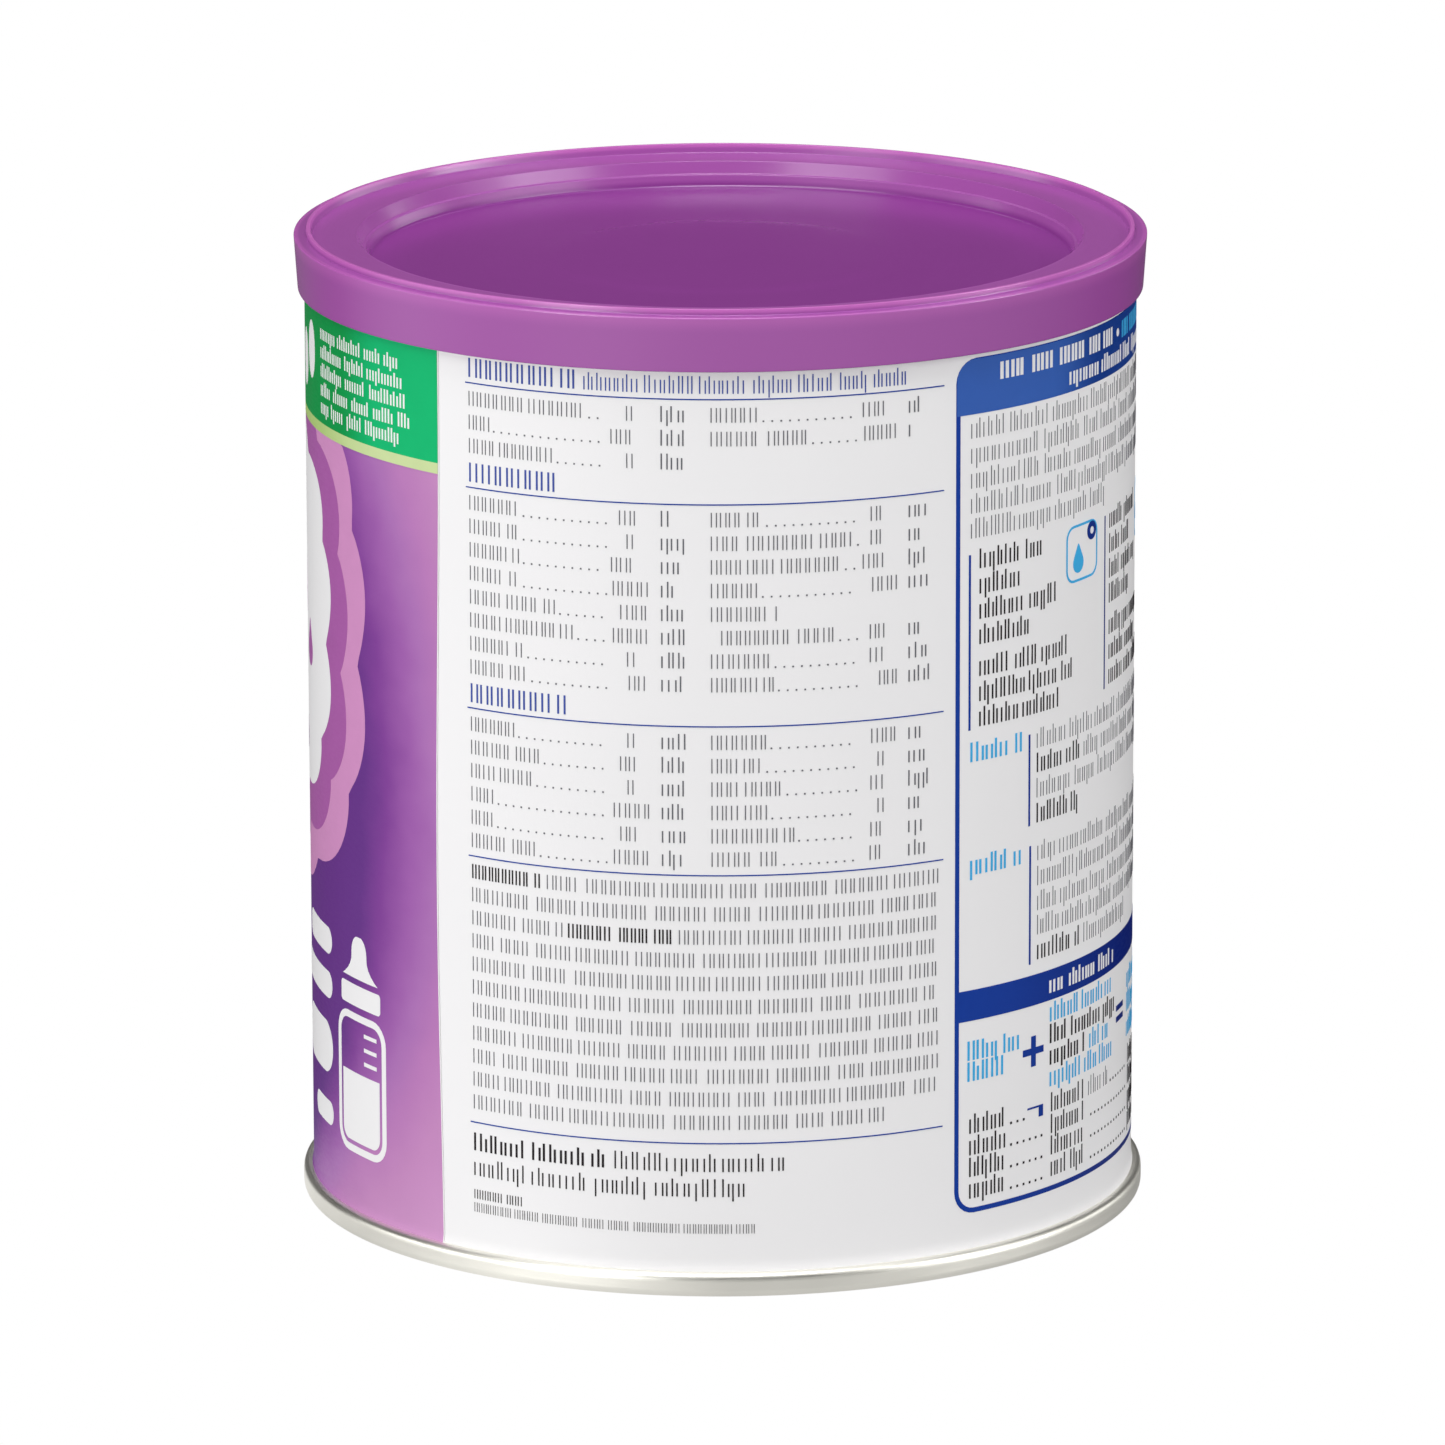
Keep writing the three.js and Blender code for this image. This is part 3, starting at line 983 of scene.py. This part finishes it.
def printFront(sheets):
    s = front
    white, mauve, violet = sheets["white"], sheets["mauve"], sheets["ink_violet"]
    foot = paper["bottom"] + s["groundFoot"]
    flared = paper["flareHeight"] - s["groundFoot"]
    heights = [foot + flared * k / s["footRows"] for k in range(s["footRows"])]
    heights += groundHeights(foot + paper["flareHeight"], s["groundTop"], s["rowStep"])
    area(sheets["violet"], frontLeft, frontRight, heights, 1)
    for name, bottom, top, step in (("lime", s["limeBottom"], s["limeTop"], s["limeStep"]),
                                    ("green", s["limeTop"], s["bandTop"], s["rowStep"])):
        area(sheets[name], frontLeft, frontRight, groundHeights(bottom, top, step), 5)
    for level, (name, margin, turn) in enumerate(s["layers"], 2):
        fillPath(sheets[name], badgePath(margin, turn), (s["middle"], s["badgeUp"]), level)

    # On the badge: a bottle between drops, over a rounded bar
    bottleMark(violet, s["middle"], *s["badgeBottle"], 5, s["badgeBottleLine"])
    for side in (-1, 1):
        for aside, z, tall, middle in s["drops"]:
            dropMark(mauve, s["middle"] + side * aside, z, tall, middle, 5)
    barHalf, barRound = s["badgeBarHalf"], s["badgeBarRound"]
    roundedBar(violet, s["middle"] - barHalf, s["middle"] + barHalf, *s["badgeBar"], barRound, barRound, 5)

    # On the ground: a bottle, bars and dots
    bottleMark(white, *s["bottle"], 3, s["bottleLine"])
    for z, tall, start, _ in s["bars"]:
        roundedBar(white, start, s["barsRight"], z, z + tall, tall / 2, tall / 2, 3)
    for k in (-1, 0, 1):
        disc(white, s["middle"] + s["dotPitch"] * k, s["dotUp"], s["dotRadius"], 3)
    for z, tall, _, end in s["bars"]:
        roundedBar(white, s["barsLeft"], end, z, z + tall, tall / 2, tall / 2, 3)

    # On the band: rows of fine print, a pair of leaves and two bars
    for z, end in s["bandRows"]:
        tickRow(white, bandSentence, s["bandLeft"], end, z, 6)
    halfWide, halfHigh = s["leafHalf"]
    for side in (-1, 1):
        u, z = (at + side * apart for at, apart in zip(s["leaf"], s["leafApart"]))
        turns = [2 * math.pi * k / s["leafPoints"] for k in range(s["leafPoints"])]
        leaf = [(u + halfWide * math.cos(turn), z + halfHigh * math.sin(turn)) for turn in turns]
        fillPath(white, leaf, (u, z), 6)
    tall = s["bandBarHeight"]
    for z, start, end in s["bandBars"]:
        roundedBar(white, start, end, z, z + tall, tall / 2, tall / 2, 6)


inkLook = {
    "patchSize": 0.4, "patches": 0.05, "grain": 2.2, "stretch": 3.0, "roughLow": 0.40, "roughHigh": 0.48,
    "bump": 0.04, "bumpDepth": 0.02, "shine": 0.12,
}


# The ground runs from deep violet beside the badge to lilac at the panel's edges,
# paler at the top and the foot, with soft clouds in it
violetLook = {
    "start": 42.6, "span": 19.2,          # from the badge's middle to the paling, and over what length
    "waist": 48.6,                        # it pales above and below this height
    "upper": (0.49, 45.0), "lower": (1.59, 47.0), "bend": 2.25,
    "cloudSize": 0.11, "clouds": 0.3,
    "stops": ((0.0, screen(96, 46, 128)), (0.25, screen(121, 58, 142)), (0.55, screen(149, 87, 161)),
              (0.75, screen(162, 105, 170)), (1.0, screen(175, 115, 174)), (1.4, screen(186, 129, 180)),
              (2.1, screen(194, 141, 187))),
}


def violetGround(net, place):
    look = violetLook
    away = net.math("ABSOLUTE", net.math("SUBTRACT", place["Around"], front["middle"]))
    total = net.math("DIVIDE", net.math("SUBTRACT", away, look["start"]), look["span"])
    rise = net.math("SUBTRACT", place["Up"], look["waist"])
    for sign, (share, span) in ((1, look["upper"]), (-1, look["lower"])):
        way = net.math("MAXIMUM", net.math("MULTIPLY", rise, sign / span), 0)
        total = net.math("ADD", total, net.math("MULTIPLY", net.math("POWER", way, look["bend"]), share))
    clouds = net.noise(place["Wrapped"], look["cloudSize"], detail=2.0)
    drift = net.math("MULTIPLY", net.math("SUBTRACT", clouds, 0.5), look["clouds"])
    last = look["stops"][-1][0]
    return net.ramp(net.math("DIVIDE", net.math("ADD", total, drift), last),
                    [(at / last, tone) for at, tone in look["stops"]])


# A tone that passes from one colour to another round the tin
def acrossTone(start, end, low, high):
    return lambda net, place: net.mixed(net.ranged(place["Around"], start, end), low, high)


# Each ink's material, its colour and what differs from the usual look
inks = {
    "violet": ("ink_violet_ground", violetGround, {"patches": 0.03, "patchSize": 0.2}),
    "pink": ("ink_pink", screen(198, 136, 184), {}),
    "mauve": ("ink_mauve", screen(160, 88, 157), {}),
    "green": ("ink_green", acrossTone(-57, -47, screen(0, 141, 66), screen(0, 174, 105)), {}),
    "lime": ("ink_lime", acrossTone(-68, -46, screen(167, 195, 116), screen(193, 210, 153)), {}),
    "white": ("ink_white", screen(230, 229, 230), {"patches": 0.01}),
    "ink_violet": ("ink_deep_violet", screen(106, 38, 116), {}),
    "grey": ("ink_grey", screen(100, 100, 106), {"patches": 0.12, "patchSize": 1.2}),
    "dark": ("ink_dark", screen(34, 28, 32), {"patches": 0.12, "patchSize": 1.2}),
    # the blue darkens round to the right, painted shade where less light falls on that side
    "blue": ("ink_blue_and_painted_shade", acrossTone(30, 70, screen(8, 54, 147), screen(0, 27, 111)), {}),
    # the banner blue is lighter at its left end, partly a painted sheen from the lamps
    "banner": ("ink_banner_blue_and_painted_sheen", acrossTone(45, 57, screen(48, 90, 171), screen(4, 52, 131)), {}),
    "pale": ("ink_heading_blue", screen(62, 80, 156), {}),
    "sky": ("ink_sky", screen(58, 166, 220), {"patches": 0.06}),
}


def makePrint():
    sheets = {name: newSheet() for name in inks}
    printFront(sheets)
    printFacts(*(sheets[name] for name in ("grey", "dark", "blue", "pale")))
    printSteps(*(sheets[name] for name in ("grey", "dark", "blue", "banner", "sky", "white")))
    printFeeding(*(sheets[name] for name in ("grey", "dark", "blue", "pale", "sky", "white")))
    for name, sheet in sheets.items():
        materialName, color, changes = inks[name]
        material = surfaceMaterial(materialName, {**inkLook, **changes}, color)
        piece = makePiece("print_" + name, sheet["verts"], sheet["faces"], material,
                          sharpDegrees=30, places=sheet["places"])
        print("print", name, len(piece.data.polygons), "faces")


makePrint()


# Lid
lidShape = {
    "thickness": 1.0,
    "skirtInner": 50.65,
    "skirtLean": 0.45,       # the skirt is narrower at its foot
    "footRound": 0.2,
    "shoulderDrop": 0.75,    # from the ring's top to the shoulder
    "shoulderRound": 0.2,
    "ringRadius": 49.75,
    "ringHalfWidth": 0.4,
    "ringLeanOut": 0.05,     # how far the ring's sides lean in, outside and inside
    "ringLeanIn": 0.3,
    "ringRound": 0.08,
    "ringFillet": 0.1,
    "landDrop": 1.1,         # from the ring's top to the land inside it
    "lipRadius": 43.95,
    "lipRise": 0.03,
    "lipWidth": 0.3,
    "lipRound": 0.07,
    "stepRadius": 43.25,
    "stepDrop": 2.55,
    "stepWidth": 0.35,
    "floorRadius": 42.4,
    "floorDrop": 4.05,
    "edgeRound": 0.07,
    "discRadius": 19.6,
    "discRise": 0.1,
    "discSlope": 3.0,
    "discRound": 1.2,
    "floorRound": 0.3,
    "underRound": 0.3,       # roundings of the underside, and where it turns down into the skirt
    "underCorner": 0.5,
    "innerFootRound": 0.08,
    "segments": 360,
    "cornerSteps": 5,
}


def lidOutline():
    s = lidShape
    top, foot, wide = lidHigh.z / mm, lidLow.z / mm, lidHigh.x / mm
    shoulder = top - s["shoulderDrop"]
    land = top - s["landDrop"]
    floor = top - s["floorDrop"]
    ringOut, ringIn = s["ringRadius"] + s["ringHalfWidth"], s["ringRadius"] - s["ringHalfWidth"]
    corners = [
        (0, floor - s["thickness"], 0),
        (s["floorRadius"] + s["thickness"], floor - s["thickness"], s["underRound"]),
        (s["lipRadius"] + 0.5 * s["thickness"], shoulder - s["thickness"], s["underRound"]),
        (s["skirtInner"], shoulder - s["thickness"], s["underCorner"]),
        (s["skirtInner"], foot, s["innerFootRound"]),
        (wide - s["skirtLean"], foot, s["footRound"]),
        (wide, shoulder, s["shoulderRound"]),
        (ringOut, shoulder, s["ringFillet"]),
        (ringOut - s["ringLeanOut"], top, s["ringRound"]),
        (ringIn + s["ringLeanIn"], top, s["ringRound"]),
        (ringIn, land, s["ringFillet"]),
        (s["lipRadius"] + s["lipWidth"], land, s["edgeRound"]),
        (s["lipRadius"], land + s["lipRise"], s["lipRound"]),
        (s["stepRadius"], top - s["stepDrop"], s["edgeRound"]),
        (s["stepRadius"] - s["stepWidth"], top - s["stepDrop"] - s["edgeRound"], s["edgeRound"]),
        (s["floorRadius"], floor, s["floorRound"]),
        (s["discRadius"] + s["discSlope"], floor, s["discRound"]),
        (s["discRadius"], floor + s["discRise"], s["discRound"]),
        (0, floor + s["discRise"], 0),
    ]
    return roundedOutline(corners, s["cornerSteps"])


# Violet moulding; the well's floor is darker, painted shade in that recess, and the ring and the skirt's
# top are paler, a painted glow and highlight where light comes through and catches thin edges
lidLook = {
    "violet": screen(155, 77, 157),
    # deep: a darker tone on the well's floor, painted shade in that recess
    "deep": screen(130, 50, 136),
    "wellRadius": 42.6, "wellEdge": 0.15,     # the deep colour ends here, over this much each way
    "wellHeight": 117.0, "wellRise": 0.2,
    # painted light: the paler pink laid on the ring and on the skirt under the shoulder stands in for glow
    # and highlights
    "paintedEdgeLight": screen(197, 104, 187),
    "ringPaintedLight": 0.75, "ringPaintedLightDrop": 0.65, "ringPaintedLightFull": 0.2,
    "skirtPaintedLight": 0.35, "skirtPaintedLightDrop": 2.0, "skirtFace": (50.9, 51.3),
    "nickColor": screen(205, 160, 205), "nicks": 0.35,
    "patchSize": 0.06, "patches": 0.03, "grain": 4.0, "stretch": 26.0,
    "roughLow": 0.23, "roughHigh": 0.26, "bump": 0.01, "bumpDepth": 0.03, "shine": 0.7,
}


def lidTone(net, place):
    s = lidLook
    up, out = place["Up"], place["Out"]
    top = lidHigh.z / mm
    shoulder = top - lidShape["shoulderDrop"]
    # painted shade: the floor of the well, inside the lip and below the step, takes the darker tone
    inWell = net.ranged(out, s["wellRadius"] - s["wellEdge"], s["wellRadius"] + s["wellEdge"], 1.0, 0.0)
    onFloor = net.ranged(up, s["wellHeight"] - s["wellRise"], s["wellHeight"] + s["wellRise"], 1.0, 0.0)
    moulding = net.mixed(net.math("MULTIPLY", inWell, onFloor), s["violet"], s["deep"])
    # painted glow and highlight: a paler pink on the ring's band and on the skirt just under the shoulder
    paintedRingLight = net.ranged(up, top - s["ringPaintedLightDrop"], top - s["ringPaintedLightFull"], 0.0, s["ringPaintedLight"])
    paintedShoulderLight = net.ranged(up, shoulder - s["skirtPaintedLightDrop"], shoulder, 0.0, s["skirtPaintedLight"])
    paintedSkirtLight = net.math("MULTIPLY", paintedShoulderLight, net.ranged(out, *s["skirtFace"]))
    return net.mixed(net.math("MAXIMUM", paintedRingLight, paintedSkirtLight), moulding, s["paintedEdgeLight"])


def lidWear(net, place, tone):
    nicks = net.shared("nicks", {"Point": place["Point"], "Up": place["Up"], "Edge Height": lidHigh.z / mm})
    return net.mixed(net.math("MULTIPLY", nicks["Mask"], lidLook["nicks"]), tone, lidLook["nickColor"])


lidVerts, lidFaces = turned(lidOutline(), lidShape["segments"])
polyethylene = surfaceMaterial("violet_polyethylene", lidLook, lidTone, worn=lidWear)
lid = makePiece("lid_moulding", lidVerts, lidFaces, polyethylene, sharpDegrees=50)
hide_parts("lid")
print("lid turned:", len(lidFaces), "faces")


# Steel end
endShape = {
    "panelZ": 3.1,
    "beadRadius": 39.0,
    "beadWidth": 2.4,
    "beadDepth": 0.6,
    "beadSlope": 0.8,
    "channelRadius": 46.5,
    "channelWidth": 1.5,
    "channelSlope": 0.9,
    "channelZ": 3.9,
    "seamWidth": 2.0,
    "seamHeight": 2.95,      # up against the paper's foot
    "seamRound": 1.0,
    "seamInnerRound": 0.8,
    "neckRadius": 49.1,
    "neckRound": 0.2,
    "panelRound": 0.5,
    "channelRound": 0.6,
    "topZ": 4.4,
    "segments": 224,
    "cornerSteps": 6,
}


def endOutline():
    s = endShape
    wide = endHigh.x / mm
    beadIn, beadOut = s["beadRadius"] - s["beadWidth"] / 2, s["beadRadius"] + s["beadWidth"] / 2
    corners = [
        (0, s["panelZ"], 0),
        (beadIn - s["beadSlope"], s["panelZ"], s["panelRound"]),
        (beadIn, s["panelZ"] - s["beadDepth"], s["panelRound"]),
        (beadOut, s["panelZ"] - s["beadDepth"], s["panelRound"]),
        (beadOut + s["beadSlope"], s["panelZ"], s["panelRound"]),
        (s["channelRadius"] - s["channelSlope"], s["panelZ"], s["panelRound"]),
        (s["channelRadius"], s["channelZ"], s["panelRound"]),
        (s["channelRadius"] + s["channelWidth"], s["channelZ"], s["channelRound"]),
        (wide - s["seamWidth"], 0, s["seamInnerRound"]),
        (wide, 0, s["seamRound"]),
        (wide, s["seamHeight"], s["seamRound"]),
        (s["neckRadius"], s["seamHeight"], s["neckRound"]),
        (s["neckRadius"], s["topZ"], s["neckRound"]),
        (0, s["topZ"], 0),
    ]
    return roundedOutline(corners, s["cornerSteps"])


steelLook = {
    "steel": screen(241, 239, 230), "patchSize": 0.12, "patches": 0.05, "grain": 5.0, "stretch": 40.0,
    "roughLow": 0.36, "roughHigh": 0.44, "bump": 0.03, "bumpDepth": 0.02, "shine": 0.5,
}
tinplate = surfaceMaterial("tinplate", steelLook, steelLook["steel"], metallic=1.0)
endVerts, endFaces = turned(endOutline(), endShape["segments"])
steelEnd = makePiece("steel_end", endVerts, endFaces, tinplate, sharpDegrees=50)
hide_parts("bottom_end")
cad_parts["tin_body"].data.materials.clear()
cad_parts["tin_body"].data.materials.append(tinplate)
print("steel end turned:", len(endFaces), "faces")


# Camera of the reference view
view = {
    "back": 1.40694,       # metres in front of the tin's axis
    "up": 0.4086,
    "aside": 0.000126,
    "tilt": 76.003,
    "roll": -0.126,
    "lens": 295.42,
    "sensor": 36.0,
    "reach": 20.0,
}
camera = bpy.data.objects.new("camera", bpy.data.cameras.new("camera"))
bpy.context.scene.collection.objects.link(camera)
camera.location = (view["aside"], -view["back"], view["up"])
camera.rotation_mode = "XYZ"
tiltTurn = Matrix.Rotation(math.radians(view["tilt"]), 3, "X")
rollTurn = Matrix.Rotation(math.radians(view["roll"]), 3, "Z")
camera.rotation_euler = (tiltTurn @ rollTurn).to_euler()
camera.data.lens = view["lens"]
camera.data.sensor_width = view["sensor"]
camera.data.clip_end = view["reach"]
bpy.context.scene.camera = camera


# Stage: a white sweep. The tin sees the pale table round it as the photograph's tin did,
# brightest in front on the left; the camera sees plain white.
sweep = {
    "half": 4.0,
    "seen": 1.0,
    # how bright the table is towards each side, by azimuth from the front
    "sides": ((-180, 0.12), (-150, 0.16), (-120, 0.05), (-90, 0.89), (-60, 0.62), (-30, 0.92), (0, 0.63),
              (30, 0.61), (60, 0.42), (90, 0.25), (120, 0.0), (150, 0.04), (180, 0.12)),
    "worldGlow": 0.042,
}


# Shows one strength to the camera and another to everything else
def shownStrength(net, others, seen):
    rays = net.nodes.new("ShaderNodeLightPath").outputs["Is Camera Ray"]
    return net.ranged(rays, 0, 1, others, seen, soft=False)


def sweepMaterial():
    material, net, shader, place = newMaterial("white_sweep")
    for label, value in (("Base Color", (0, 0, 0)), ("Specular IOR Level", 0),
                         ("Emission Color", (1, 1, 1))):
        net.feed(shader[label], value)
    around = net.ranged(place["Around"], -girth / 2, girth / 2, soft=False)
    stops = [(azimuth / 360 + 0.5, (strength,) * 3) for azimuth, strength in sweep["sides"]]
    table = net.ramp(around, stops)
    net.feed(shader["Emission Strength"], shownStrength(net, table, sweep["seen"]))
    return material


floorMesh = bpy.data.meshes.new("floor")
corners = [(x * sweep["half"], y * sweep["half"], 0) for x, y in ((-1, -1), (1, -1), (1, 1), (-1, 1))]
floorMesh.from_pydata(corners, [], [(0, 1, 2, 3)])
floorMesh.materials.append(sweepMaterial())
floor = bpy.data.objects.new("floor", floorMesh)
bpy.context.scene.collection.objects.link(floor)

world = bpy.data.worlds.new("studio")
bpy.context.scene.world = world
world.use_nodes = True
net = Net(world.node_tree)
background = net.nodes["Background"].inputs
net.feed(background["Color"], (1, 1, 1))
net.feed(background["Strength"], shownStrength(net, sweep["worldGlow"], sweep["seen"]))


# Softboxes: azimuth from the front towards the right, elevation, distance, width, height, watts
softboxes = {
    "lowLeftBack": (-95, 8, 1.5, 0.60, 0.40, 1.9),
    "lowLeft": (-72, 8, 1.5, 0.50, 0.40, 2.4),
    "lowKey": (-40, 8, 1.5, 0.60, 0.40, 7.0),
    "lowRightFront": (62, 8, 1.5, 0.50, 0.40, 1.9),
    "lowRight": (80, 8, 1.5, 0.50, 0.40, 5.8),
    "lowRightBack": (120, 8, 1.5, 0.80, 0.40, 1.9),
    "rightFront": (65, 36, 1.5, 0.70, 0.60, 4.2),
    "right": (85, 36, 1.5, 0.70, 0.60, 1.4),
    "highKey": (-45, 50, 1.5, 0.80, 0.70, 7.2),
    "back": (180, 48, 1.5, 1.10, 0.60, 3.0),
    "overFront": (0, 75, 1.5, 0.60, 0.50, 10.0),
    "top": (0, 88, 1.4, 1.20, 1.20, 5.0),
}
aim = Vector((0, 0, 0.06))  # the middle of the tin
for name, (azimuth, elevation, distance, width, height, watts) in softboxes.items():
    light = bpy.data.lights.new(name, "AREA")
    light.shape = "RECTANGLE"
    light.size, light.size_y = width, height
    light.energy = watts
    lamp = bpy.data.objects.new(name, light)
    bpy.context.scene.collection.objects.link(lamp)
    turn, rise = math.radians(azimuth), math.radians(elevation)
    toLamp = Vector((math.sin(turn) * math.cos(rise), -math.cos(turn) * math.cos(rise), math.sin(rise)))
    lamp.location = aim + toLamp * distance
    lamp.rotation_mode = "QUATERNION"
    lamp.rotation_quaternion = toLamp.to_track_quat("Z", "Y")
    lamp.visible_camera = False
print("stage set:", len(softboxes), "softboxes")

bpy.context.scene.view_settings.view_transform = "Standard"
bpy.context.scene.view_settings.look = "None"

print("scene ready")
